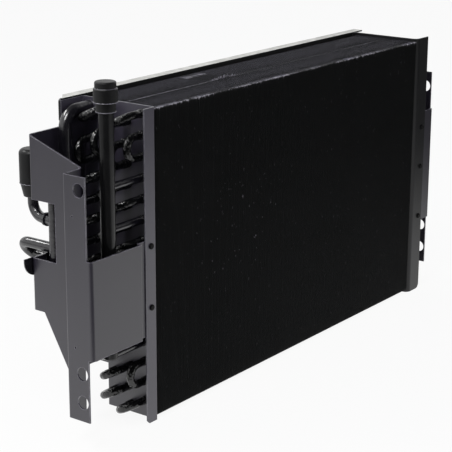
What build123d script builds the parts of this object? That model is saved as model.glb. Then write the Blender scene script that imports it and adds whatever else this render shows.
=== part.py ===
# Condenser coil: finned tube core, end plates, headers, brackets, rail and capped pipe fittings.
# Millimetres. X runs along the coil, +Y to its rear, +Z up.
# The working frame has X=0 at the left face of the fins, Y=0 at their front and Z=0 at their bottom.
# The finished model is moved so that its origin is the middle of the bottom of its box.
import math
import os
from build123d import *

# Core
coil_length = 600.0
tube_pitch = 25.4
row_pitch = 25.4
tubes_per_row = 15
rear_tubes_left_out = 2
tube_d = 9.52
tube_wall = 0.4
tube_clearance = 0.04

# Fins
fin_gaps = 119
fin_gap_share = 0.68
fin_gap_depth = 6.0
fin_edge_depth = 1.2

# Bends at the ends of the tubes
diagonal_leg = 19.0
vertical_leg = 21.0
hairpin_leg = 9.0
socket_wall = 0.55
socket_depth = 7.0
socket_end = 11.0
socket_root = 3.0

# End plates
plate_t = 1.5
plate_rear = 109.0
plate_drop = 5.0
left_plate_top = 383.0
right_plate_top = 385.0
left_flange_w = 19.5
left_rear_flange_w = 40.0
right_flange_w = 33.0
right_bend_r = 8.0
flange_corner_r = 8.0
flange_chamfer = 4.0
plate_hole_gap = 0.4

# Front header
front_header_x = -68.5
front_header_d = 17.5
front_header_bottom = 91.5
front_header_foot_r = 3.0
header_wall = 1.2
collar_z = 387.0
collar_d = 23.0
collar_h = 11.0
nut_d = 28.0
nut_h = 15.5
front_cap_d = 24.8
front_cap_h = 8.0

# Rear header and crossover
rear_header_x = -75.0
rear_header_d = 15.9
rear_header_foot = 43.0
rear_header_top = 300.0
rear_foot_x = -46.0
rear_jog_top = 146.0
rear_jog_low = 120.0
rear_jog_r = 14.0
end_cap_wall = 1.4
end_cap_depth = 7.0
crossover_d = 15.9
crossover_y = 98.5
crossover_z = 371.0
crossover_x = -43.5
crossover_join_z = 284.0
crossover_bend_r = 20.0

# Rear fitting
fitting_x = -69.4
fitting_y = 129.5
fitting_leg_z = 247.0
fitting_bend_r = 17.0
fitting_pipe_d = 12.7
fitting_pipe_top = 275.0
fitting_body_d = 21.5
fitting_shoulder_d = 29.0
fitting_body_z = 271.0
fitting_body_h = 16.0
fitting_cap_d = 30.0
fitting_cap_h = 41.6
fitting_cap_r = 6.0
ring_y = 103.8
ring_d = 16.4
ring_w = 3.0

# Lower rear pipe
loop_d = 12.7
loop_top_z = 214.0
loop_turn = 25.4
loop_side = 15.7
loop_bend_y = 133.2
loop_end_y = 104.0

# Rear top rail
rail_t = 2.0
rail_top = 385.0
rail_leg_h = 26.0
rail_flange_w = 15.0
rail_left = -41.0
rail_past_right = 26.0
rail_leg_past_right = 4.0
rail_left_cut = 5.0
rail_left_mitre = 16.0
rail_corner_r = 4.0

# Brackets
bracket_t = 2.0
bracket_bend_r = 3.4
leg_setback = 2.5
small_bend_r = 2.5
front_plate_y = -4.9
front_plate_low = 107.0
front_plate_high = 225.5
tab_reach = 3.0
jog_x = -31.5
jog_bend_r = 1.5
flange_x = -118.5
flange_low = 30.0
flange_high = 322.5
step_y = 33.6
wing_x = -89.0
wing_y = 113.0
wing_top_rear = 351.0
wing_foot_y = 96.4
wing_foot_z = 137.4
notch_y = 75.0
notch_low = 202.0
notch_high = 273.5
rear_plate_x = -33.0
lip_x = -68.0
big_hole_d = 16.4
small_hole_d = 3.0
left_big_hole_y = 10.8
right_big_hole_y = 13.0
small_hole_y = 20.8
left_big_holes = [306.3, 88.8, 53.7]
left_small_holes = [275.0, 119.3]
right_leg_out = 57.0
right_leg_y = 34.0
right_leg_low = 30.0
right_leg_high = 328.0
right_panel_low = 104.0
right_panel_high = 273.0
right_panel_out = 10.0
right_big_holes = [306.3, 88.8, 53.7]

# Pipe support plate
support_left = -102.5
support_right = -48.0
support_low = 179.5
support_corner_r = 18.5
support_t = 1.5

# Screws
screw_d = 4.0
screw_head_d = 7.5
screw_head_h = 2.0
screw_length = 8.0
screw_gap = 0.3
left_screw_x = -9.5
left_screws = [218.0, 142.0]
right_screw_out = 24.0
right_screws = [250.0, 190.0, 112.5]

# Sizes that follow
core_height = tubes_per_row * tube_pitch
slab_depth = 2 * row_pitch
core_depth = 2 * slab_depth
core_step = rear_tubes_left_out * tube_pitch
step_depth = 1.5 * slab_depth
tube_r = tube_d / 2
hole_r = tube_r + tube_clearance
socket_r = tube_r + tube_clearance + socket_wall
plate_bottom = -plate_drop
row_y = [row_pitch * (n + 0.5) for n in range(4)]
bore_r = tube_r - tube_wall
rail_right = coil_length + rail_past_right
right_leg_x = coil_length + right_leg_out
right_panel_x = coil_length + right_panel_out
right_screw_x = coil_length + right_screw_out
front_header_top = collar_z + collar_h / 2
loop_low_x = rear_header_x + loop_side
loop_low_z = loop_top_z - math.sqrt(loop_turn ** 2 - loop_side ** 2)


# Place of tube i, counted from the bottom, in row 1 to 4 from the front
def tube_at(row, i):
    lift = 0.75 if row in (1, 3) else 0.25
    return row_y[row - 1], tube_pitch * (i + lift)


# Tubes that a row holds
def row_tubes(row):
    first = rear_tubes_left_out if row == 4 else 0
    return range(first, tubes_per_row)


# Box from its two corners
def block(x0, x1, y0, y1, z0, z1):
    size = Box(x1 - x0, y1 - y0, z1 - z0)
    return Pos((x0 + x1) / 2, (y0 + y1) / 2, (z0 + z1) / 2) * size


# Rod along X, Y or Z
def rod(axis, at, start, end, radius):
    body = Cylinder(radius, end - start)
    middle = (start + end) / 2
    if axis == "X":
        return Pos(middle, at[0], at[1]) * Rot(0, 90, 0) * body
    if axis == "Y":
        return Pos(at[0], middle, at[1]) * Rot(90, 0, 0) * body
    return Pos(at[0], at[1], middle) * body


# Rod that follows a path
def follow(path, radius):
    start = Plane(origin=path @ 0, z_dir=path % 0)
    return sweep(start * Circle(radius), path=path)


# Pipe with a wall along a path
def pipe(path, outer_d, wall):
    return follow(path, outer_d / 2) - follow(path, outer_d / 2 - wall)


# U-shaped path from (x0, 0, 0) out to x1, round, and back at (dy, dz)
def u_path(x0, x1, dy, dz):
    span = math.hypot(dy, dz)
    reach = x1 + math.copysign(span / 2, x1 - x0)
    out = Edge.make_line((x0, 0, 0), (x1, 0, 0))
    bend = Edge.make_three_point_arc((x1, 0, 0), (reach, dy / 2, dz / 2), (x1, dy, dz))
    back = Edge.make_line((x1, dy, dz), (x0, dy, dz))
    return Wire([out, bend, back])


# Thin sheet that follows a plan path, between two heights
def folded(points, radii, thickness, low, high):
    path = FilletPolyline(*points, radius=radii)
    return Pos(0, 0, low) * extrude(trace(path, line_width=thickness), high - low)


# Tubes that the left return bends join, in the order of their nodes
def left_pairs():
    even = range(4, 12, 2)
    odd = range(3, 12, 2)
    last = tubes_per_row - 1
    pairs = {}
    pairs["return_bends_top"] = [((1, last), (2, last)), ((3, last), (4, last))]
    pairs["return_bends_upright"] = [((r, last - 1), (r, last - 2)) for r in (1, 2, 3, 4)]
    pairs["return_bends_rows_1_2"] = [((1, i), (2, i)) for i in even]
    pairs["return_bends_rows_2_3"] = [((2, i), (3, i - 1)) for i in odd]
    pairs["return_bends_rows_3_4"] = [((3, i), (4, i)) for i in odd]
    bottom = [((1, 0), (2, 0)), ((2, 1), (3, 0)), ((2, 2), (3, 1)), ((1, 2), (1, 1))]
    pairs["return_bends_bottom"] = bottom
    return pairs


# Tubes that share one hairpin, bent at the right
def right_pairs():
    last = tubes_per_row - 1
    upper = [((1, 12), (2, 13)), ((2, 10), (3, 10)), ((2, last), (3, last))]
    upper += [((3, 11), (4, 12)), ((3, 12), (4, 13)), ((3, 13), (4, last))]
    pairs = {"hairpins_upper": upper}
    extra = {1: [10, 13], 2: [11], 3: [], 4: [10]}
    for row in (1, 2, 3, 4):
        starts = [i for i in range(0, 10, 2) if i in row_tubes(row)] + extra[row]
        pairs[f"hairpins_row_{row}"] = [((row, i), (row, i + 1)) for i in starts]
    return pairs


# One hairpin: two legs through the fins, a bend at the right, sockets at the left
def hairpin(first, second):
    y, z = tube_at(*first)
    y2, z2 = tube_at(*second)
    path = u_path(-socket_end, coil_length + hairpin_leg, y2 - y, z2 - z)
    outer = follow(path, tube_r)
    inner = follow(path, bore_r)
    for dy, dz in ((0, 0), (y2 - y, z2 - z)):
        outer += rod("X", (dy, dz), -socket_end, -socket_root, socket_r)
        inner += rod("X", (dy, dz), -socket_end, socket_depth - socket_end, hole_r)
    return Pos(0, y, z) * (outer - inner)


# One return bend, its ends inside the sockets of two hairpins
def return_bend(first, second):
    y, z = tube_at(*first)
    y2, z2 = tube_at(*second)
    leg = vertical_leg if y == y2 else diagonal_leg
    path = u_path(socket_depth - socket_end, -leg, y2 - y, z2 - z)
    return Pos(0, y, z) * pipe(path, tube_d, tube_wall)


# Fin pack of two rows, with thin gaps round its outer faces
def fin_slab(rows, front, rear, outside_front):
    slab = block(0, coil_length, front, rear, 0, core_height)
    keep_front = front + fin_gap_depth if outside_front else front - 1
    keep_rear = rear + 1 if outside_front else rear - fin_gap_depth
    step = [] if outside_front else [block(-1, coil_length + 1, step_depth, rear + 1, -1, core_step)]
    pitch = coil_length / (fin_gaps + 1)
    width = pitch * fin_gap_share
    keep = block(0, width, keep_front, keep_rear, fin_edge_depth, core_height - fin_edge_depth)
    if not outside_front:
        keep -= block(-1, width + 1, step_depth - fin_gap_depth, rear, -1, core_step + fin_edge_depth)
    ring = block(0, width, front - 1, rear + 1, -1, core_height + 1) - keep
    slab -= step + [Pos(pitch * (n + 1) - width / 2, 0, 0) * ring for n in range(fin_gaps)]
    holes = [rod("X", tube_at(r, i), -1, coil_length + 1, hole_r) for r in rows for i in row_tubes(r)]
    return slab - holes


# Holes for the tubes through an end plate
def plate_holes(x0, x1):
    spots = [tube_at(r, i) for r in (1, 2, 3, 4) for i in row_tubes(r)]
    return [rod("X", spot, x0, x1, tube_r + plate_hole_gap / 2) for spot in spots]


# Step at the lower rear corner, where the last row stops short
def plate_step(x0, x1):
    return block(x0, x1, step_depth, plate_rear + 1, plate_bottom - 1, core_step)


# Left end plate with a narrow flange at its front and a wider one at its rear
def end_plate_left():
    mid = plate_t / 2
    rear = plate_rear - mid
    points = [(-left_flange_w, -mid), (-mid, -mid), (-mid, rear), (-left_rear_flange_w, rear)]
    body = folded(points, [plate_t, plate_t], plate_t, plate_bottom, left_plate_top)
    body -= plate_step(-left_rear_flange_w - 1, 1)
    body -= plate_holes(-plate_t - 1, 1)
    body -= rod("X", (crossover_y, crossover_z), -plate_t - 1, 1, crossover_d / 2 + tube_clearance)
    body -= flange_holes(left_screw_x, left_screws)
    corner = body.edges().filter_by(Axis.Y).group_by(Axis.Z)[0].sort_by(Axis.X)[0]
    return chamfer(corner, flange_chamfer)


# Right end plate with its wider front flange
def end_plate_right():
    mid = plate_t / 2
    inner = coil_length + mid
    points = [(coil_length + right_flange_w, -mid), (inner, -mid), (inner, plate_rear)]
    body = folded(points, [right_bend_r], plate_t, plate_bottom, right_plate_top)
    body -= plate_step(coil_length - 1, coil_length + plate_t + 1)
    body -= plate_holes(coil_length - 1, coil_length + plate_t + 1)
    body -= flange_holes(right_screw_x, right_screws)
    corner = body.edges().filter_by(Axis.Y).group_by(Axis.Z)[0].sort_by(Axis.X)[-1]
    return fillet(corner, flange_corner_r)


# Screw holes through a flange and the sheet behind it
def flange_holes(x, heights):
    radius = screw_d / 2 + screw_gap / 2
    return [rod("Y", (x, z), -plate_t - 1, bracket_t + 1, radius) for z in heights]


# Screws with low heads on a flange
def flange_screws(x, heights):
    screws = []
    for z in heights:
        head = rod("Y", (x, z), -plate_t - screw_head_h, -plate_t, screw_head_d / 2)
        head = fillet(head.edges().sort_by(Axis.Y)[0], screw_head_h * 0.6)
        shank = rod("Y", (x, z), -plate_t, screw_length - plate_t, screw_d / 2)
        screws.append(head + shank)
    return screws


# Angle along the top of the rear; its flange is cut short and mitred at the left, and its leg
# stops at the right end plate
def rear_top_rail():
    leg_right = coil_length + rail_leg_past_right
    leg = block(rail_left, leg_right, plate_rear, plate_rear + rail_t, rail_top - rail_leg_h, rail_top)
    corner = leg.edges().filter_by(Axis.Y).group_by(Axis.Z)[-1].sort_by(Axis.X)[0]
    leg = fillet(corner, rail_corner_r)
    rear = plate_rear + rail_flange_w
    start = rail_left + rail_left_cut
    outline = Polyline((start, plate_rear), (rail_right, plate_rear), (rail_right, rear),
                       (start + rail_left_mitre, rear), close=True)
    flange = Pos(0, 0, rail_top - rail_t) * extrude(make_face(outline), rail_t)
    return leg + flange


# Left bracket: one folded sheet from the flange round to a plate behind the coil
def left_bracket():
    mid = bracket_t / 2
    points = [(-tab_reach, mid), (jog_x, mid), (jog_x, front_plate_y), (flange_x, front_plate_y),
              (flange_x, step_y), (wing_x, step_y), (wing_x, wing_y), (rear_plate_x, wing_y)]
    small = small_bend_r
    radii = [jog_bend_r, jog_bend_r, bracket_bend_r, small, small, small]
    sheet = folded(points, radii, bracket_t, flange_low, wing_top_rear)
    sheet &= bracket_trim(front_plate_y + bracket_bend_r + leg_setback)
    sheet -= block(wing_x - 2 * mid, wing_x + 2 * mid, notch_y, wing_y - small - mid, notch_low, notch_high)
    sheet -= flange_holes(left_screw_x, left_screws)
    sheet -= leg_holes((flange_x, left_big_hole_y), left_big_holes, big_hole_d)
    sheet -= [rod("X", (small_hole_y, z), flange_x - 2, flange_x + 2, small_hole_d / 2)
              for z in left_small_holes]
    return sheet


# Heights that each panel of the left bracket keeps; above and below the front panel, the side
# leg's edge is cut back to the reach
def bracket_trim(reach):
    out = bracket_t
    front = block(flange_x - out, 0, front_plate_y - out, reach, front_plate_low, front_plate_high)
    tab = block(jog_x - out, 0, reach, 2 * out, front_plate_low, front_plate_high)
    flange = block(flange_x - out, wing_x - small_bend_r - 1, reach, step_y + out, flange_low, flange_high)
    side = Polyline((step_y - out, flange_low), (step_y + out, flange_low), (wing_foot_y, wing_foot_z),
                    (wing_y + out, wing_foot_z), (wing_y + out, wing_top_rear),
                    (step_y - out, flange_high), close=True)
    wing_face = make_face(Plane.YZ * side)
    wing = Pos(wing_x - small_bend_r - 1, 0, 0) * extrude(wing_face, 2 * small_bend_r + 1)
    past_wing = wing_x + small_bend_r
    rear = block(past_wing, 0, wing_y - out, wing_y + out, notch_high, wing_top_rear)
    lip = block(past_wing, lip_x, wing_y - out, wing_y + out, wing_foot_z, notch_low)
    notch = block(wing_x - 9, past_wing + 0.01, notch_y, wing_y + 9, notch_low, notch_high)
    return front + tab + flange + (wing - notch) + rear + lip


# Large holes through a side leg, seen in its outer face
def leg_holes(place, heights, diameter):
    x, y = place
    return [rod("X", (y, z), x - 3, x + 3, diameter / 2) for z in heights]


# Right bracket: a panel behind the flange and a side leg
def right_bracket():
    mid = bracket_t / 2
    points = [(right_panel_x, mid), (right_leg_x, mid), (right_leg_x, right_leg_y)]
    sheet = folded(points, [small_bend_r], bracket_t, right_leg_low, right_leg_high)
    panel = block(0, right_leg_x + 9, -1, small_bend_r + mid, right_panel_low, right_panel_high)
    leg = block(right_leg_x - mid, right_leg_x + 9, small_bend_r + mid, right_leg_y + 1,
                right_leg_low, right_leg_high)
    sheet &= panel + leg
    sheet -= flange_holes(right_screw_x, right_screws)
    return sheet - leg_holes((right_leg_x, right_big_hole_y), right_big_holes, big_hole_d)


# Tubes of the first row that the front header feeds, each with the place of the header
def front_taps():
    return [(front_header_x, tube_at(1, i)) for i in range(3, 12, 2)]


# Tubes of the last row that the rear header feeds, from its main run or from its foot
def rear_taps():
    spots = [tube_at(4, i) for i in range(2, 12, 2)]
    return [(rear_header_x if z > rear_jog_top else rear_foot_x, (y, z)) for y, z in spots]


# Upright header, closed at its foot
def front_header():
    r = front_header_d / 2
    at = (front_header_x, row_y[0])
    outer = rod("Z", at, front_header_bottom, front_header_top, r)
    outer = fillet(outer.edges().sort_by(Axis.Z)[0], front_header_foot_r)
    inner = rod("Z", at, front_header_bottom + header_wall, front_header_top + 1, r - header_wall)
    inner = fillet(inner.edges().sort_by(Axis.Z)[0], front_header_foot_r - header_wall)
    return outer - inner - [rod("X", spot, x, x + 2 * r, hole_r) for x, spot in front_taps()]


# Short tubes from a header to the sockets of its row
def header_stubs(radius, taps):
    end = socket_depth - socket_end
    stubs = []
    for x, spot in taps:
        start = x + radius - 2 * header_wall
        stubs.append(rod("X", spot, start, end, tube_r) - rod("X", spot, start, end, bore_r))
    return stubs


# Collar brazed on the top of the front header
def front_collar():
    at = (front_header_x, row_y[0])
    top = collar_z + collar_h
    body = rod("Z", at, collar_z, top, collar_d / 2)
    body = fillet(body.edges().sort_by(Axis.Z)[0], header_wall)
    body -= rod("Z", at, collar_z - 1, front_header_top, front_header_d / 2 + tube_clearance)
    return body - rod("Z", at, front_header_top - 1, top + 1, front_header_d / 2 - header_wall)


# Nut above the collar
def front_nut():
    at = (front_header_x, row_y[0])
    low = collar_z + collar_h
    body = rod("Z", at, low, low + nut_h, nut_d / 2)
    body = fillet(body.edges().filter_by(GeomType.CIRCLE), 1.2)
    return body - rod("Z", at, low - 1, low + nut_h + 1, front_header_d / 2 - header_wall)


# Cap that closes the nut
def front_cap():
    at = (front_header_x, row_y[0])
    low = collar_z + collar_h + nut_h
    body = rod("Z", at, low, low + front_cap_h, front_cap_d / 2)
    return fillet(body.edges().sort_by(Axis.Z)[-1], 2.0)


# Rear header: an upright pipe whose foot jogs towards the coil, with a hole for each branch
def rear_header():
    y = row_y[3]
    r = rear_header_d / 2
    points = [(rear_foot_x, y, rear_header_foot), (rear_foot_x, y, rear_jog_low),
              (rear_header_x, y, rear_jog_top), (rear_header_x, y, rear_header_top)]
    path = Wire(FilletPolyline(*points, radius=rear_jog_r).edges())
    tube = pipe(path, rear_header_d, header_wall)
    tube -= [rod("X", spot, x, x + 2 * r, hole_r) for x, spot in rear_taps()]
    tube -= rod("Y", (rear_header_x, loop_top_z), y, y + 2 * r, branch_r(loop_d))
    tube -= rod("Y", (rear_header_x, fitting_leg_z), y, y + 2 * r, branch_r(fitting_pipe_d))
    return tube - crossover_branch(branch_r(crossover_d), 0)


# Radius of the necked end that a pipe puts into the rear header
def branch_r(diameter):
    return min(diameter / 2, rear_header_d / 2 - header_wall - 0.6)


# Straight stretch of the crossover at the rear header
def crossover_branch(radius, start):
    y = row_y[3]
    run = Vector(crossover_x - rear_header_x, crossover_y - y, 0)
    base = Plane(origin=(rear_header_x, y, crossover_join_z), z_dir=run.normalized())
    return base * Pos(0, 0, start) * extrude(Circle(radius), rear_header_d - start)


# Caps pressed over the two ends of the rear header
def rear_header_caps():
    r = rear_header_d / 2 + tube_clearance
    caps = []
    for x, end, way in ((rear_foot_x, rear_header_foot, -1), (rear_header_x, rear_header_top, 1)):
        at = (x, row_y[3])
        low = min(end - way * end_cap_depth, end + way * end_cap_wall)
        high = max(end - way * end_cap_depth, end + way * end_cap_wall)
        shell = rod("Z", at, low, high, r + end_cap_wall)
        far = shell.edges().filter_by(GeomType.CIRCLE).sort_by(Axis.Z)[0 if way < 0 else -1]
        inside = sorted((end - way * (end_cap_depth + 1), end))
        caps.append(fillet(far, end_cap_wall) - rod("Z", at, inside[0], inside[1], r))
    return caps


# Pipe that meets the rear header, its mouth cut to the header's round and clear of the stubs
def saddle(shape):
    at = (rear_header_x, row_y[3])
    shape -= rod("Z", at, rear_jog_top, rear_header_top, rear_header_d / 2)
    return shape - [rod("X", spot, x, 0, hole_r) for x, spot in rear_taps()]


# Pipe from the hole in the left end plate down to the rear header
def crossover_pipe():
    y = row_y[3]
    points = [(0, crossover_y, crossover_z), (crossover_x, crossover_y, crossover_z),
              (crossover_x, crossover_y, crossover_join_z), (rear_header_x, y, crossover_join_z)]
    path = Wire(FilletPolyline(*points, radius=crossover_bend_r).edges())
    body = pipe(path, crossover_d, header_wall)
    return saddle(body)


# Pipe that leaves the rear header and turns up to the rear fitting
def fitting_pipe():
    points = [(rear_header_x, row_y[3], fitting_leg_z), (fitting_x, fitting_y, fitting_leg_z),
              (fitting_x, fitting_y, fitting_pipe_top)]
    path = Wire(FilletPolyline(*points, radius=fitting_bend_r).edges())
    body = pipe(path, fitting_pipe_d, header_wall)
    return saddle(body)


# Direction of the level leg of that pipe
def fitting_run():
    return Vector(fitting_x - rear_header_x, fitting_y - row_y[3], 0).normalized()


# Brazed ring on the level leg
def fitting_ring():
    run = fitting_run()
    shift = (ring_y - row_y[3]) / run.Y
    centre = Vector(rear_header_x, row_y[3], fitting_leg_z) + run * shift
    ring = extrude(Circle(ring_d / 2) - Circle(fitting_pipe_d / 2 + tube_clearance), ring_w / 2, both=True)
    return Plane(origin=centre, z_dir=run) * ring


# Body of the rear fitting, wider towards its cap, brazed on its pipe
def fitting_body():
    at = (fitting_x, fitting_y)
    top = fitting_body_z + fitting_body_h
    cone = Cone(fitting_body_d / 2, fitting_shoulder_d / 2, fitting_body_h)
    body = Pos(fitting_x, fitting_y, (fitting_body_z + top) / 2) * cone
    body -= rod("Z", at, fitting_body_z - 1, fitting_pipe_top, fitting_pipe_d / 2 + tube_clearance)
    return body - rod("Z", at, fitting_pipe_top - 1, top + 1, fitting_pipe_d / 2 - header_wall)


# Tall round cap on the rear fitting
def fitting_cap():
    low = fitting_body_z + fitting_body_h
    body = rod("Z", (fitting_x, fitting_y), low, low + fitting_cap_h, fitting_cap_d / 2)
    return fillet(body.edges().sort_by(Axis.Z)[-1], fitting_cap_r)


# Pipe that runs rearwards, turns down and inwards and comes back through the support plate
def loop_pipe():
    start = Vector(rear_header_x, row_y[3], loop_top_z)
    first = Vector(rear_header_x, loop_bend_y, loop_top_z)
    last = Vector(loop_low_x, loop_bend_y, loop_low_z)
    end = Vector(loop_low_x, loop_end_y, loop_low_z)
    out = Edge.make_line(start, first)
    bend = Edge.make_three_point_arc(first, (first + last) * 0.5 + Vector(0, loop_turn / 2, 0), last)
    body = saddle(pipe(Wire([out, bend, Edge.make_line(last, end)]), loop_d, header_wall))
    return body + rod("Y", (loop_low_x, loop_low_z), loop_end_y - header_wall, loop_end_y, loop_d / 2)


# Plate behind the bracket's lower lip that carries the pipe's return leg
def pipe_support():
    front = wing_y + bracket_t / 2
    plate = block(support_left, support_right, front, front + support_t, support_low, notch_low)
    corner = plate.edges().filter_by(Axis.Y).sort_by(Axis.Z)[:2].sort_by(Axis.X)[0]
    plate = fillet(corner, support_corner_r)
    hole = rod("Y", (loop_low_x, loop_low_z), front - 1, front + support_t + 1,
               loop_d / 2 + tube_clearance)
    return plate - hole


# Every node with its solids
def build():
    nodes = {}
    nodes["fin_slab_front"] = [fin_slab((1, 2), 0, slab_depth, True)]
    nodes["fin_slab_rear"] = [fin_slab((3, 4), slab_depth, core_depth, False)]
    for name, pairs in right_pairs().items():
        nodes[name] = [hairpin(*pair) for pair in pairs]
    for name, pairs in left_pairs().items():
        nodes[name] = [return_bend(*pair) for pair in pairs]
    nodes["end_plate_left"] = [end_plate_left()]
    nodes["end_plate_right"] = [end_plate_right()]
    nodes["rear_top_rail"] = [rear_top_rail()]
    nodes["left_bracket"] = [left_bracket()]
    nodes["right_bracket"] = [right_bracket()]
    nodes["left_flange_screws"] = flange_screws(left_screw_x, left_screws)
    nodes["right_flange_screws"] = flange_screws(right_screw_x, right_screws)
    nodes["front_header"] = [front_header()]
    nodes["front_header_stubs"] = header_stubs(front_header_d / 2, front_taps())
    nodes["front_collar"] = [front_collar()]
    nodes["front_nut"] = [front_nut()]
    nodes["front_cap"] = [front_cap()]
    nodes["rear_header"] = [rear_header()]
    nodes["rear_header_stubs"] = header_stubs(rear_header_d / 2, rear_taps())
    nodes["rear_header_caps"] = rear_header_caps()
    nodes["crossover_pipe"] = [crossover_pipe()]
    nodes["fitting_pipe"] = [fitting_pipe()]
    nodes["fitting_ring"] = [fitting_ring()]
    nodes["fitting_body"] = [fitting_body()]
    nodes["fitting_cap"] = [fitting_cap()]
    nodes["loop_pipe"] = [loop_pipe()]
    nodes["pipe_support"] = [pipe_support()]
    return nodes


# Solids of one node, whatever a step returned
def solids_of(shapes):
    return [solid for shape in shapes for solid in shape.solids()]


nodes = {name: solids_of(shapes) for name, shapes in build().items()}
whole = Compound([solid for solids in nodes.values() for solid in solids]).bounding_box()
shift = Pos(-(whole.min.X + whole.max.X) / 2, -(whole.min.Y + whole.max.Y) / 2, -whole.min.Z)
os.makedirs("parts", exist_ok=True)
for name, solids in nodes.items():
    moved = [shift * solid for solid in solids]
    shape = moved[0] if len(moved) == 1 else Compound(moved)
    export_step(shape, f"parts/{name}.step")
print("shift", shift.position)
print("size", whole.size)
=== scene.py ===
# A finned condenser coil: two fin packs, copper bends, headers, capped fittings and folded
# sheet brackets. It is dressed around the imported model, in metres, and nothing in it moves.
import math
import random

import bmesh
import bpy
from mathutils import Euler, Matrix, Vector


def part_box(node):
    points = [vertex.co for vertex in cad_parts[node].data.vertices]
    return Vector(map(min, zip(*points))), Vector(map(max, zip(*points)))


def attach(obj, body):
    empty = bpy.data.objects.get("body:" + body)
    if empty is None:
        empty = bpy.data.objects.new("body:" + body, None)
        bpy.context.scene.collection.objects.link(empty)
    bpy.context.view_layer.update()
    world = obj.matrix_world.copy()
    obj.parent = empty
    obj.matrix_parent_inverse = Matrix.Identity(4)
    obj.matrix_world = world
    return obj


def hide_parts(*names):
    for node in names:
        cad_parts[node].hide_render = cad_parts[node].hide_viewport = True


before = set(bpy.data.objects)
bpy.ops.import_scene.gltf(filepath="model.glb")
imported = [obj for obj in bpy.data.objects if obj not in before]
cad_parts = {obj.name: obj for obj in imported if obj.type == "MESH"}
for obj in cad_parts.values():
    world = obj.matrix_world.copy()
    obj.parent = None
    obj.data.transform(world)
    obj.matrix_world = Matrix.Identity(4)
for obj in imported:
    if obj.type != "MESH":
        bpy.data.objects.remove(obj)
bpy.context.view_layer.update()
MM = 0.001

# Studio
# A white paper sweep behind and beside the coil, with the darker room in front of it, one large
# soft lamp at the upper left, one low at the front and a weak one behind. The view is the
# photograph's: a long lens a little above and to the left.
PHOTO_PIXELS = 452
FOCAL_PIXELS = 1478.6
SENSOR_MM = 36.0
CAMERA_PLACE = (-1.5525, -1.13915, 0.7329)
CAMERA_AZIMUTH = -53.146
CAMERA_HEIGHT_ANGLE = 16.305
CAMERA_ROLL = 0.209

scene = bpy.context.scene
scene.view_settings.view_transform = "Standard"


# A hex colour as the linear values that a shader takes
def linear(hex_code):
    levels = [int(hex_code[i:i + 2], 16) / 255 for i in (1, 3, 5)]
    curve = [v / 12.92 if v <= 0.04045 else ((v + 0.055) / 1.055) ** 2.4 for v in levels]
    return (*curve, 1.0)


# One shader node with its settings, its input values and its links
def add(tree, kind, settings=None, values=None, links=None):
    node = tree.nodes.new(kind)
    for name, value in (settings or {}).items():
        setattr(node, name, value)
    for name, value in (values or {}).items():
        node.inputs[name].default_value = value
    for name, socket in (links or {}).items():
        tree.links.new(socket, node.inputs[name])
    return node


camera_data = bpy.data.cameras.new("camera")
camera_data.sensor_width = SENSOR_MM
camera_data.lens = FOCAL_PIXELS / PHOTO_PIXELS * SENSOR_MM
camera_data.clip_end = 20.0
camera = bpy.data.objects.new("camera", camera_data)
turn = Matrix.Rotation(math.radians(CAMERA_AZIMUTH), 4, "Z")
turn = turn @ Matrix.Rotation(math.radians(90 - CAMERA_HEIGHT_ANGLE), 4, "X")
turn = turn @ Matrix.Rotation(math.radians(CAMERA_ROLL), 4, "Z")
camera.matrix_world = Matrix.Translation(CAMERA_PLACE) @ turn
scene.collection.objects.link(camera)
scene.camera = camera

DARK_WALL_WAY = (-0.2, -0.98, 0.0)
DARK_FLOOR_TIP = (-0.1, -0.42, 0.0)
DARK_FLOOR_WAY = (-0.9, -0.43, 0.0)


# How bright the gloss sees a direction: white, and dark where it points the dark way
def away_from_room(tree, way, dark_way, dark, start, end):
    facing = add(tree, "ShaderNodeVectorMath", {"operation": "DOT_PRODUCT"}, links={0: way})
    facing.inputs[1].default_value = dark_way
    return add(tree, "ShaderNodeMapRange", {"interpolation_type": "SMOOTHSTEP"},
               {"From Min": start, "From Max": end, "To Min": 1.0, "To Max": dark},
               {"Value": facing.outputs["Value"]})


world = bpy.data.worlds.new("white_room")
scene.world = world
world.use_nodes = True
room = world.node_tree
room.nodes.clear()
rays = add(room, "ShaderNodeLightPath")
seen = add(room, "ShaderNodeMath", {"operation": "MAXIMUM"},
           links={0: rays.outputs["Is Camera Ray"], 1: rays.outputs["Is Glossy Ray"]})
seen = add(room, "ShaderNodeMath", {"operation": "MAXIMUM"},
           links={0: seen.outputs[0], 1: rays.outputs["Is Transmission Ray"]})
sky = add(room, "ShaderNodeTexCoord")
rise = add(room, "ShaderNodeSeparateXYZ", links={0: sky.outputs["Generated"]})
wall = add(room, "ShaderNodeMapRange", {"interpolation_type": "SMOOTHSTEP"},
           {"From Min": 0.3, "From Max": 0.9, "To Min": 1.0, "To Max": 0.12}, {"Value": rise.outputs["Z"]})
front = away_from_room(room, sky.outputs["Generated"], DARK_WALL_WAY, 0.03, 0.1, 0.5)
level = add(room, "ShaderNodeMath", {"operation": "MULTIPLY"}, links={0: wall.outputs[0], 1: front.outputs[0]})
level = add(room, "ShaderNodeMath", {"operation": "MAXIMUM"},
            links={0: level.outputs[0], 1: rays.outputs["Is Camera Ray"]})
dim = add(room, "ShaderNodeBackground", values={"Color": linear("#f4f5f8"), "Strength": 0.55})
white = add(room, "ShaderNodeBackground", values={"Color": (1, 1, 1, 1)}, links={"Strength": level.outputs[0]})
either = add(room, "ShaderNodeMixShader", links={0: seen.outputs[0], 1: dim.outputs[0], 2: white.outputs[0]})
add(room, "ShaderNodeOutputWorld", links={"Surface": either.outputs[0]})


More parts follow.
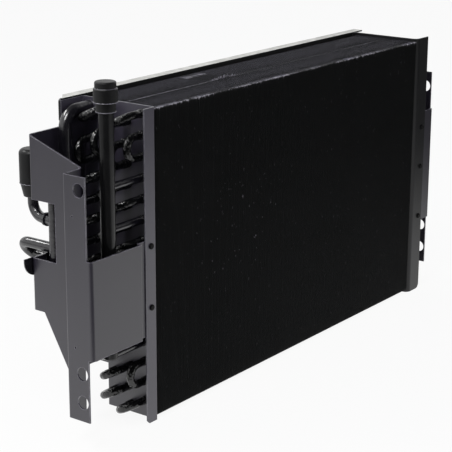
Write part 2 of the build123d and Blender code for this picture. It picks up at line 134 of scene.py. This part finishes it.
# A soft rectangular lamp that points at the middle of the coil
def lamp(name, place, size, watts, aim, mirrored):
    data = bpy.data.lights.new(name, "AREA")
    data.shape = "RECTANGLE"
    data.size, data.size_y = size
    data.energy = watts
    holder = bpy.data.objects.new(name, data)
    way = Vector(aim) - Vector(place)
    holder.matrix_world = Matrix.Translation(place) @ way.to_track_quat("-Z", "Y").to_matrix().to_4x4()
    holder.visible_glossy = mirrored
    scene.collection.objects.link(holder)


lamp("upper_left_lamp", (-1.6, -0.3, 1.9), (0.5, 1.0), 24, (-0.2, 0, 0.2), True)
lamp("front_lamp", (-0.4, -2.2, 1.0), (0.9, 0.5), 8, (0, 0, 0.2), False)
lamp("upper_rear_lamp", (-0.85, 1.3, 1.9), (0.9, 0.35), 20, (-0.2, 0, 0.2), True)

floor_mesh = bpy.data.meshes.new("floor")
floor_bm = bmesh.new()
bmesh.ops.create_grid(floor_bm, x_segments=1, y_segments=1, size=6.0)
floor_bm.to_mesh(floor_mesh)
floor_bm.free()
floor = bpy.data.objects.new("floor", floor_mesh)
scene.collection.objects.link(floor)
paper = bpy.data.materials.new("white_paper_sweep")
paper.use_nodes = True
sheet = paper.node_tree
sheet.nodes.clear()
rays = add(sheet, "ShaderNodeLightPath")
seen = add(sheet, "ShaderNodeMath", {"operation": "MAXIMUM"},
           links={0: rays.outputs["Is Camera Ray"], 1: rays.outputs["Is Glossy Ray"]})
spot = add(sheet, "ShaderNodeTexCoord")
run = add(sheet, "ShaderNodeVectorMath", {"operation": "SUBTRACT"}, links={0: spot.outputs["Object"]})
run.inputs[1].default_value = DARK_FLOOR_TIP
run = add(sheet, "ShaderNodeVectorMath", {"operation": "NORMALIZE"}, links={0: run.outputs[0]})
front = away_from_room(sheet, run.outputs[0], DARK_FLOOR_WAY, 0.04, 0.6, 0.85)
across = add(sheet, "ShaderNodeSeparateXYZ", links={0: spot.outputs["Object"]})
side = add(sheet, "ShaderNodeMapRange", {"interpolation_type": "SMOOTHSTEP"},
           {"From Min": 0.35, "From Max": 1.35, "To Min": 1.0, "To Max": 0.03}, {"Value": across.outputs["X"]})
away = add(sheet, "ShaderNodeVectorMath", {"operation": "LENGTH"}, links={0: spot.outputs["Object"]})
far = add(sheet, "ShaderNodeMapRange", {"interpolation_type": "SMOOTHSTEP"},
          {"From Min": 0.5, "From Max": 2.0, "To Min": 1.0, "To Max": 0.3}, {"Value": away.outputs["Value"]})
level = add(sheet, "ShaderNodeMath", {"operation": "MULTIPLY"}, links={0: front.outputs[0], 1: side.outputs[0]})
level = add(sheet, "ShaderNodeMath", {"operation": "MULTIPLY"}, links={0: level.outputs[0], 1: far.outputs[0]})
level = add(sheet, "ShaderNodeMath", {"operation": "MAXIMUM"},
            links={0: level.outputs[0], 1: rays.outputs["Is Camera Ray"]})
matt = add(sheet, "ShaderNodeBsdfDiffuse", values={"Color": linear("#dddddd")})
glow = add(sheet, "ShaderNodeEmission", values={"Color": (1, 1, 1, 1)}, links={"Strength": level.outputs[0]})
lift = add(sheet, "ShaderNodeMixShader", values={0: 0.92}, links={1: matt.outputs[0], 2: glow.outputs[0]})
either = add(sheet, "ShaderNodeMixShader", links={0: seen.outputs[0], 1: matt.outputs[0], 2: lift.outputs[0]})
add(sheet, "ShaderNodeOutputMaterial", links={"Surface": either.outputs[0]})
floor_mesh.materials.append(paper)

# Fin packs
# Two packs of thin aluminium fins, stamped with collars for the tubes and dipped in black
# epoxy. Their corners are bent and scraped along the top front edge and the seam.
FIN_COUNT = 331
FIN_THICKNESS = 0.3 * MM
SCRAPE_SEED = 7
pack_low, pack_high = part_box("fin_slab_front")
rear_low, rear_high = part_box("fin_slab_rear")
SLAB_DEPTH = pack_high.y - pack_low.y
NICKED_MIDDLE = (pack_low.x + 160 * MM, pack_low.y, pack_low.z + 210 * MM)
STEP_HEIGHT = 50.8 * MM
STEP_Y = rear_low.y + SLAB_DEPTH / 2


# How far the fins stand torn at a place along the seam: one stretch of some fifty millimetres
def torn(x):
    return math.exp(-(((x - pack_low.x) / MM - 198) / 24) ** 4)


# How strongly the seam between the packs is scraped at a place along the coil
def seam_scrape(x):
    along = (x - pack_low.x) / MM
    steady = 1.3 if along < 120 else 0.95 if along < 230 else 0.6
    far_burr = 0.3 * math.exp(-((along - 540) / 30) ** 2)
    return steady + 0.5 * torn(x) + far_burr


# How strongly the top front edge is scraped at a place along the coil
def front_scrape(x):
    along = (x - pack_low.x) / MM
    waves = 0.2 * math.sin(along / 31) + 0.15 * math.sin(along / 13 + 1)
    return 0.8 + waves


# One thin fin, with its edges a little out of true and its top corners bent
def add_fin(bm, bare, x, columns, rows, rng, scrapes):
    made = bmesh.ops.create_grid(bm, x_segments=len(columns) - 1, y_segments=len(rows) - 1, size=0.5)
    lean = {c: rng.uniform(0.2, 1.0) for c in scrapes}
    droop = {c: rng.random() for c in scrapes}
    missed = {c: rng.random() < 0.3 for c in scrapes}
    for v in made["verts"]:
        column = round((v.co.x + 0.5) * (len(columns) - 1))
        row = round((v.co.y + 0.5) * (len(rows) - 1))
        y, z = columns[column], rows[row]
        below = rows[-1] - z
        bend = 0.0
        wear = 0.0
        for c, strength in scrapes.items():
            share = max(0.0, 1 - abs(column - c)) * strength(x)
            reach = math.exp(-below / ((1.6 + 3.4 * droop[c] ** 3) * MM))
            bend += lean[c] * 2.3 * MM * share * reach
            rub = share * (0.7 + 0.6 * droop[c]) * (0.25 if missed[c] else 1.0)
            wear = max(wear, min(1.0, rub) * reach)
            if row == len(rows) - 1:
                z -= droop[c] * 0.6 * MM * share
                if strength is seam_scrape and share > 0:
                    z += 5.5 * MM * torn(x) * (0.15 + 0.85 * droop[c] ** 2)
        v.co = (x + bend, y + rng.uniform(-0.08, 0.08) * MM, z)
        v[bare] = wear


# A pack of fins that fills the box of its node
def fin_pack(name, node, columns, scrapes, seed, stepped):
    low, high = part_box(node)
    rng = random.Random(seed)
    bm = bmesh.new()
    bare = bm.verts.layers.float.new("bare")
    heights = [0, 0.02, STEP_HEIGHT / (high.z - low.z), 0.35, 0.6, 0.8, 0.93]
    rows = [low.z + share * (high.z - low.z) for share in heights]
    rows += [high.z - 7 * MM, high.z - 3.4 * MM, high.z - 1.5 * MM, high.z]
    span = high.x - low.x - FIN_THICKNESS * 2
    for k in range(FIN_COUNT):
        x = low.x + FIN_THICKNESS + span * k / (FIN_COUNT - 1)
        add_fin(bm, bare, x, columns, rows, rng, scrapes)
    if stepped:
        missing = [f for f in bm.faces
                   if f.calc_center_median().y > STEP_Y and f.calc_center_median().z < low.z + STEP_HEIGHT]
        bmesh.ops.delete(bm, geom=missing, context="FACES")
    mesh = bpy.data.meshes.new(name)
    bm.to_mesh(mesh)
    bm.free()
    pack = bpy.data.objects.new(name, mesh)
    scene.collection.objects.link(pack)
    wall = pack.modifiers.new("fin_metal", "SOLIDIFY")
    wall.thickness = FIN_THICKNESS
    wall.offset = 0
    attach(pack, "root")
    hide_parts(node)
    return pack


# Black epoxy over aluminium: matt and near black, with bare metal where the coat is scraped off, and a painted top
# light: faces that point up get a lighter violet grey, as if lit from above
def coated_fin_finish():
    material = bpy.data.materials.new("black_epoxy_on_aluminium_fin")
    material.use_nodes = True
    tree = material.node_tree
    tree.nodes.clear()
    place = add(tree, "ShaderNodeTexCoord")
    worn = add(tree, "ShaderNodeAttribute", {"attribute_name": "bare"})
    grit = add(tree, "ShaderNodeTexNoise", values={"Scale": 1 / (1.4 * MM), "Detail": 3.0},
               links={"Vector": place.outputs["Object"]})
    ragged = add(tree, "ShaderNodeMath", {"operation": "MULTIPLY"},
                 links={0: worn.outputs["Fac"], 1: grit.outputs["Fac"]})
    edge = add(tree, "ShaderNodeMapRange", values={"From Min": 0.2, "From Max": 0.5, "To Max": 0.85},
               links={"Value": ragged.outputs[0]})
    patch = add(tree, "ShaderNodeTexNoise", values={"Scale": 1 / (60 * MM), "Detail": 4.0},
                links={"Vector": place.outputs["Object"]})
    streak = add(tree, "ShaderNodeMapping", values={"Scale": (1, 1, 0.55)},
                 links={"Vector": place.outputs["Object"]})
    speck = add(tree, "ShaderNodeTexNoise", values={"Scale": 1 / (3.4 * MM), "Detail": 2.0},
                links={"Vector": streak.outputs[0]})
    rare = add(tree, "ShaderNodeMapRange", values={"From Min": 0.7, "From Max": 0.79, "To Max": 0.7},
               links={"Value": speck.outputs["Fac"]})
    gap = add(tree, "ShaderNodeVectorMath", {"operation": "DISTANCE"}, links={0: place.outputs["Object"]})
    gap.inputs[1].default_value = NICKED_MIDDLE
    zone = add(tree, "ShaderNodeMapRange", {"interpolation_type": "SMOOTHSTEP"},
               {"From Min": 50 * MM, "From Max": 120 * MM, "To Min": 1.0, "To Max": 0.2},
               {"Value": gap.outputs["Value"]})
    dots = add(tree, "ShaderNodeMath", {"operation": "MULTIPLY"},
               links={0: rare.outputs[0], 1: zone.outputs[0]})
    bare = add(tree, "ShaderNodeMath", {"operation": "MAXIMUM", "use_clamp": True},
               links={0: edge.outputs[0], 1: dots.outputs[0]})
    coat = add(tree, "ShaderNodeMix", {"data_type": "RGBA"}, links={0: patch.outputs["Fac"]})
    coat.inputs[6].default_value = linear("#0d0e0e")
    coat.inputs[7].default_value = linear("#141516")
    # Painted top light: up-facing fin faces are mixed towards a lighter violet grey with a fine grain, standing in for
    # light falling from above
    shape = add(tree, "ShaderNodeSeparateXYZ", links={0: place.outputs["Normal"]})
    lit_top_mask = add(tree, "ShaderNodeMapRange", values={"From Min": 0.4, "From Max": 0.8},
             links={"Value": shape.outputs["Z"]})
    top_light_grain = add(tree, "ShaderNodeTexNoise", values={"Scale": 1 / (3.5 * MM), "Detail": 4.0},
              links={"Vector": place.outputs["Object"]})
    dust_and_top_light = add(tree, "ShaderNodeMix", {"data_type": "RGBA"}, links={0: top_light_grain.outputs["Fac"]})
    dust_and_top_light.inputs[6].default_value = linear("#26242f")
    dust_and_top_light.inputs[7].default_value = linear("#6a6778")
    coat = add(tree, "ShaderNodeMix", {"data_type": "RGBA"},
               links={0: lit_top_mask.outputs[0], 6: coat.outputs[2], 7: dust_and_top_light.outputs[2]})
    colour = add(tree, "ShaderNodeMix", {"data_type": "RGBA"},
                 links={0: bare.outputs[0], 6: coat.outputs[2]})
    colour.inputs[7].default_value = linear("#a19ea8")
    rough = add(tree, "ShaderNodeMapRange", values={"To Min": 0.55, "To Max": 0.34},
                links={"Value": bare.outputs[0]})
    body = add(tree, "ShaderNodeBsdfPrincipled", values={"Specular IOR Level": 0.3},
               links={"Base Color": colour.outputs[2], "Roughness": rough.outputs[0]})
    add(tree, "ShaderNodeOutputMaterial", links={"Surface": body.outputs[0]})
    return material


front_columns = [pack_low.y, pack_low.y + 8 * MM, pack_low.y + 25 * MM, pack_high.y - 2 * MM, pack_high.y]
front_scrapes = {0: front_scrape, 4: seam_scrape}
front_fins = fin_pack("front_fins", "fin_slab_front", front_columns, front_scrapes, SCRAPE_SEED, False)


# How strongly the line behind the seam is scraped: one short stretch near the left
def rear_scrape(x):
    along = (x - rear_low.x) / MM
    return 0.9 if 169 < along < 208 else 0.0


rear_columns = [rear_low.y, rear_low.y + 2 * MM, STEP_Y, rear_low.y + 38.5 * MM, rear_high.y - 2 * MM, rear_high.y]
rear_scrapes = {0: seam_scrape, 3: rear_scrape}
rear_fins = fin_pack("rear_fins", "fin_slab_rear", rear_columns, rear_scrapes, SCRAPE_SEED + 1, True)
fin_finish = coated_fin_finish()
front_fins.data.materials.append(fin_finish)
rear_fins.data.materials.append(fin_finish)


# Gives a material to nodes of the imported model
def dress(material, *names):
    for name in names:
        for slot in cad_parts[name].material_slots:
            slot.material = material


# Copper circuit
# Hairpin tubes and return bends of 3/8 inch copper, brazed at flared sockets and then dipped
# in gloss black lacquer, which sags a little and gives bright streaks along each bend.
SOCKET_END_X = pack_low.x - 11 * MM
BEAD_RADIUS = 0.55 * MM
SOCKET_RADIUS = 5.25 * MM
TUBE_PITCH = 25.4 * MM
ROW_PITCH = 25.4 * MM


# Where a corner is lightened, from 0 to 1: along cut edges, rims and folds, inner corners as well as outer, partly the
# coat rubbed thin and partly a painted edge highlight
def rubbed_and_highlit_corners(tree, place, radius_mm, grit_mm, least):
    shape = add(tree, "ShaderNodeNewGeometry")
    rounded = add(tree, "ShaderNodeBevel", {"samples": 6}, {"Radius": radius_mm * MM})
    turned = add(tree, "ShaderNodeVectorMath", {"operation": "DOT_PRODUCT"},
                 links={0: shape.outputs["Normal"], 1: rounded.outputs[0]})
    corner = add(tree, "ShaderNodeMapRange", values={"From Min": 0.995, "From Max": 0.9},
                 links={"Value": turned.outputs["Value"]})
    grit = add(tree, "ShaderNodeTexNoise", values={"Scale": 1 / (grit_mm * MM), "Detail": 4.0},
               links={"Vector": place.outputs["Object"]})
    keep = add(tree, "ShaderNodeMapRange", values={"From Min": 0.35, "From Max": 0.55, "To Min": least},
               links={"Value": grit.outputs["Fac"]})
    return add(tree, "ShaderNodeMath", {"operation": "MULTIPLY"},
               links={0: corner.outputs[0], 1: keep.outputs[0]})


# Lacquer over metal: a dark gloss that ripples and sags, dusty in patches, its rims lightened, partly thin coat and
# partly a painted rim highlight
def lacquer_finish(name, colour, dust_and_top_light, roughness, ripple_mm, ripple_height, shine, rim_wear_and_highlight_colour):
    material = bpy.data.materials.new(name)
    material.use_nodes = True
    tree = material.node_tree
    tree.nodes.clear()
    place = add(tree, "ShaderNodeTexCoord")
    cloud = add(tree, "ShaderNodeTexNoise", values={"Scale": 1 / (18 * MM), "Detail": 5.0},
                links={"Vector": place.outputs["Object"]})
    share = add(tree, "ShaderNodeMapRange", values={"From Min": 0.45, "From Max": 0.8, "To Max": 0.6},
                links={"Value": cloud.outputs["Fac"]})
    mixed = add(tree, "ShaderNodeMix", {"data_type": "RGBA"}, links={0: share.outputs[0]})
    mixed.inputs[6].default_value = linear(colour)
    mixed.inputs[7].default_value = linear(dust_and_top_light)
    rubbed_and_highlit = rubbed_and_highlit_corners(tree, place, 0.7, 6.0, 0.35)
    worn = add(tree, "ShaderNodeMix", {"data_type": "RGBA"}, links={0: rubbed_and_highlit.outputs[0], 6: mixed.outputs[2]})
    worn.inputs[7].default_value = linear(rim_wear_and_highlight_colour)
    gloss = add(tree, "ShaderNodeMapRange", values={"To Min": roughness, "To Max": roughness + 0.14},
                links={"Value": cloud.outputs["Fac"]})
    ripple = add(tree, "ShaderNodeTexNoise", values={"Scale": 1 / (ripple_mm * MM), "Detail": 2.0},
                 links={"Vector": place.outputs["Object"]})
    bump = add(tree, "ShaderNodeBump", values={"Strength": 0.8, "Distance": ripple_height * MM},
               links={"Height": ripple.outputs["Fac"]})
    body = add(tree, "ShaderNodeBsdfPrincipled", values={"Specular IOR Level": shine},
               links={"Base Color": worn.outputs[2], "Roughness": gloss.outputs[0],
                      "Normal": bump.outputs[0]})
    add(tree, "ShaderNodeOutputMaterial", links={"Surface": body.outputs[0]})
    return material


# Round bead of braze about an axis along X
def braze_bead(bm, centre, major, minor):
    ring = bmesh.ops.create_circle(bm, segments=8, radius=minor)["verts"]
    seat = Matrix.Translation(Vector(centre) + Vector((0, 0, major))) @ Matrix.Rotation(math.radians(90), 4, "Y")
    seat = seat @ Matrix.Rotation(math.radians(90), 4, "X")
    bmesh.ops.transform(bm, matrix=seat, verts=ring)
    edges = list({e for v in ring for e in v.link_edges})
    bmesh.ops.spin(bm, geom=ring + edges, cent=centre, axis=(1, 0, 0), angle=math.tau, steps=20,
                   use_merge=True)


tube_lacquer = lacquer_finish("gloss_black_lacquer_on_copper", "#060607", "#101013", 0.06, 4.5, 2.2, 0.65,
                              "#1d1c20")
bends = [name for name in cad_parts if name.startswith(("return_bends", "hairpins"))]
dress(tube_lacquer, *bends)
beads = bmesh.new()
for row in range(4):
    y = pack_low.y + ROW_PITCH * (row + 0.5)
    for i in range(2 if row == 3 else 0, 15):
        z = pack_low.z + TUBE_PITCH * (i + (0.25 if row % 2 else 0.75))
        braze_bead(beads, (SOCKET_END_X, y, z), SOCKET_RADIUS - BEAD_RADIUS, BEAD_RADIUS)
bmesh.ops.remove_doubles(beads, verts=beads.verts, dist=0.01 * MM)
bmesh.ops.recalc_face_normals(beads, faces=beads.faces)
for face in beads.faces:
    face.smooth = True
bead_mesh = bpy.data.meshes.new("braze_beads")
beads.to_mesh(bead_mesh)
beads.free()
bead_mesh.materials.append(tube_lacquer)
bead_piece = bpy.data.objects.new("braze_beads", bead_mesh)
scene.collection.objects.link(bead_piece)
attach(bead_piece, "root")

# End plates and brackets
# Folded steel sheet, sprayed satin black with the rest of the coil. Much of their grey is the white paper mirrored in
# the coat, which has fine orange peel. The left end plate's coat is painted lighter and the right one's darker, lit and
# shaded copies of one black spray, and the cut edges are lightened, partly rubbed to the zinc below and partly a
# painted edge highlight.

# Satin black spray coat on steel sheet, with orange peel, faint streaks and lightened cut edges, partly rubbed and
# partly a painted edge highlight
def sprayed_sheet(name, colour, streak, roughness, edge_wear_and_highlight_colour, ior):
    material = bpy.data.materials.new(name)
    material.use_nodes = True
    tree = material.node_tree
    tree.nodes.clear()
    place = add(tree, "ShaderNodeTexCoord")
    stretch = add(tree, "ShaderNodeMapping", values={"Scale": (1, 1, 0.2)},
                  links={"Vector": place.outputs["Object"]})
    cloud = add(tree, "ShaderNodeTexNoise", values={"Scale": 1 / (34 * MM), "Detail": 5.0},
                links={"Vector": stretch.outputs[0]})
    mixed = add(tree, "ShaderNodeMix", {"data_type": "RGBA"}, links={0: cloud.outputs["Fac"]})
    mixed.inputs[6].default_value = linear(colour)
    mixed.inputs[7].default_value = linear(streak)
    rubbed_and_highlit = rubbed_and_highlit_corners(tree, place, 0.8, 9.0, 0.3)
    worn = add(tree, "ShaderNodeMix", {"data_type": "RGBA"},
               links={0: rubbed_and_highlit.outputs[0], 6: mixed.outputs[2]})
    worn.inputs[7].default_value = linear(edge_wear_and_highlight_colour)
    gloss = add(tree, "ShaderNodeMapRange", values={"To Min": roughness, "To Max": roughness + 0.1},
                links={"Value": cloud.outputs["Fac"]})
    peel = add(tree, "ShaderNodeTexNoise", values={"Scale": 1 / (1.6 * MM), "Detail": 1.0},
               links={"Vector": place.outputs["Object"]})
    bump = add(tree, "ShaderNodeBump", values={"Strength": 0.12, "Distance": 0.08 * MM},
               links={"Height": peel.outputs["Fac"]})
    body = add(tree, "ShaderNodeBsdfPrincipled", values={"IOR": ior},
               links={"Base Color": worn.outputs[2], "Roughness": gloss.outputs[0],
                      "Normal": bump.outputs[0]})
    add(tree, "ShaderNodeOutputMaterial", links={"Surface": body.outputs[0]})
    return material


# Painted light: the left end plate's coat is a lighter violet grey with a stronger gloss, a lit copy of the same black
# spray
left_plate_spray_painted_lit = sprayed_sheet("satin_black_spray_painted_lit_on_left_plate", "#302d38", "#3b3844", 0.28, "#86868c", 1.8)
dress(left_plate_spray_painted_lit, "end_plate_left")
# Painted shade: the right end plate's coat is near black with weaker gloss and darker edges, a shaded copy of the same
# black spray
right_plate_spray_painted_shaded = sprayed_sheet("satin_black_spray_painted_shaded_on_right_plate", "#0e0e0f", "#131315", 0.28, "#5c5c62", 1.45)
dress(right_plate_spray_painted_shaded, "end_plate_right")
# The brackets' edges get a light violet grey: partly rubbed coat, partly painted edge highlight
bracket_spray = sprayed_sheet("satin_black_spray_on_bracket", "#1c1923", "#27242f", 0.28, "#8f8c98", 1.8)
dress(bracket_spray, "left_bracket", "right_bracket")


# Rear top rail
# A bent angle of zinc-plated steel along the top of the rear. The black spray reached its
# upright leg and ends, and its top face kept the pale plating, with the coat's mist on it.
def zinc_rail_finish():
    material = bpy.data.materials.new("zinc_plate_with_black_overspray")
    material.use_nodes = True
    tree = material.node_tree
    tree.nodes.clear()
    place = add(tree, "ShaderNodeTexCoord")
    facing = add(tree, "ShaderNodeSeparateXYZ", links={0: place.outputs["Normal"]})
    along = add(tree, "ShaderNodeSeparateXYZ", links={0: place.outputs["Object"]})
    mist = add(tree, "ShaderNodeTexNoise", values={"Scale": 1 / (12 * MM), "Detail": 5.0},
               links={"Vector": place.outputs["Object"]})
    top = add(tree, "ShaderNodeMapRange", values={"From Min": 0.3, "From Max": 0.8},
              links={"Value": facing.outputs["Z"]})
    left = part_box("rear_top_rail")[0].x
    end = add(tree, "ShaderNodeMapRange", values={"From Min": left + 3 * MM, "From Max": left + 7 * MM},
              links={"Value": along.outputs["X"]})
    pale = add(tree, "ShaderNodeMath", {"operation": "MULTIPLY"}, links={0: top.outputs[0], 1: end.outputs[0]})
    speckle = add(tree, "ShaderNodeMapRange", values={"From Min": 0.3, "From Max": 0.62, "To Min": 1.0, "To Max": 0.72},
                  links={"Value": mist.outputs["Fac"]})
    pale = add(tree, "ShaderNodeMath", {"operation": "MULTIPLY"}, links={0: pale.outputs[0], 1: speckle.outputs[0]})
    colour = add(tree, "ShaderNodeMix", {"data_type": "RGBA"}, links={0: pale.outputs[0]})
    colour.inputs[6].default_value = linear("#141415")
    colour.inputs[7].default_value = linear("#c6c6c1")
    rough = add(tree, "ShaderNodeMapRange", values={"From Min": 0.3, "From Max": 0.7, "To Min": 0.32, "To Max": 0.46},
                links={"Value": mist.outputs["Fac"]})
    body = add(tree, "ShaderNodeBsdfPrincipled",
               links={"Base Color": colour.outputs[2], "Roughness": rough.outputs[0]})
    add(tree, "ShaderNodeOutputMaterial", links={"Surface": body.outputs[0]})
    return material


dress(zinc_rail_finish(), "rear_top_rail")

# Headers and pipes
# Larger copper pipe, bent and brazed, sprayed black with the rest: satin on the front header,
# glossier on the pipes behind the bracket.
# The header's and fitting's rims get a light grey: partly rubbed coat, partly painted rim highlight
header_spray = lacquer_finish("satin_black_header", "#0b0b0c", "#131314", 0.16, 9.0, 0.1, 0.45, "#8f8d96")
dress(header_spray, "front_header")
fitting_spray = lacquer_finish("satin_black_fitting", "#101011", "#1a1a1b", 0.34, 9.0, 0.15, 0.3, "#9b99a2")
dress(fitting_spray, "front_collar", "front_nut", "front_cap", "fitting_cap", "fitting_body")
pipe_lacquer = lacquer_finish("gloss_black_pipe", "#0e0d12", "#1c1a22", 0.16, 9.0, 0.6, 1.0, "#3c3a42")
dress(pipe_lacquer, "front_header_stubs", "rear_header", "rear_header_stubs", "rear_header_caps",
      "crossover_pipe", "fitting_pipe", "fitting_ring", "loop_pipe", "pipe_support")



# Thin bright ring where one part of the fitting sits on the next: a painted rim highlight, made as a small light-grey
# torus
def rim_highlight_ring(name, node, at_top, radius_share):
    low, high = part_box(node)
    radius = (high.x - low.x) / 2 * radius_share
    centre = Vector(((low.x + high.x) / 2, (low.y + high.y) / 2, high.z if at_top else low.z))
    bm = bmesh.new()
    ring = bmesh.ops.create_circle(bm, segments=8, radius=RING_RADIUS)["verts"]
    seat = Matrix.Translation(centre + Vector((radius, 0, 0))) @ Matrix.Rotation(math.radians(90), 4, "X")
    bmesh.ops.transform(bm, matrix=seat, verts=ring)
    edges = list({e for v in ring for e in v.link_edges})
    bmesh.ops.spin(bm, geom=ring + edges, cent=centre, axis=(0, 0, 1), angle=math.tau, steps=48,
                   use_merge=True)
    bmesh.ops.remove_doubles(bm, verts=bm.verts, dist=0.01 * MM)
    bmesh.ops.recalc_face_normals(bm, faces=bm.faces)
    for face in bm.faces:
        face.smooth = True
    mesh = bpy.data.meshes.new(name)
    bm.to_mesh(mesh)
    bm.free()
    mesh.materials.append(rim_highlight_finish)
    piece = bpy.data.objects.new(name, mesh)
    scene.collection.objects.link(piece)
    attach(piece, "root")


RING_RADIUS = 0.45 * MM
# Painted rim highlights: light grey rings at the foot of the front cap, nut and collar and of the rear fitting's cap
rim_highlight_finish = lacquer_finish("painted_rim_highlight", "#5a5861", "#26252a", 0.2, 2.5, 0.5, 0.8, "#8f8d96")
rim_highlight_ring("cap_ring", "front_cap", False, 1.0)
rim_highlight_ring("nut_ring", "front_nut", False, 1.0)
rim_highlight_ring("collar_ring", "front_collar", False, 1.0)
rim_highlight_ring("fitting_cap_ring", "fitting_cap", False, 1.0)

# Flange screws
# Self-tapping screws with low heads, blackened, through the flange and the bracket's tab.
screw_black = lacquer_finish("black_phosphate_screw", "#050505", "#0c0c0c", 0.45, 3.0, 0.1, 0.15, "#1b1b1c")
dress(screw_black, "left_flange_screws", "right_flange_screws")
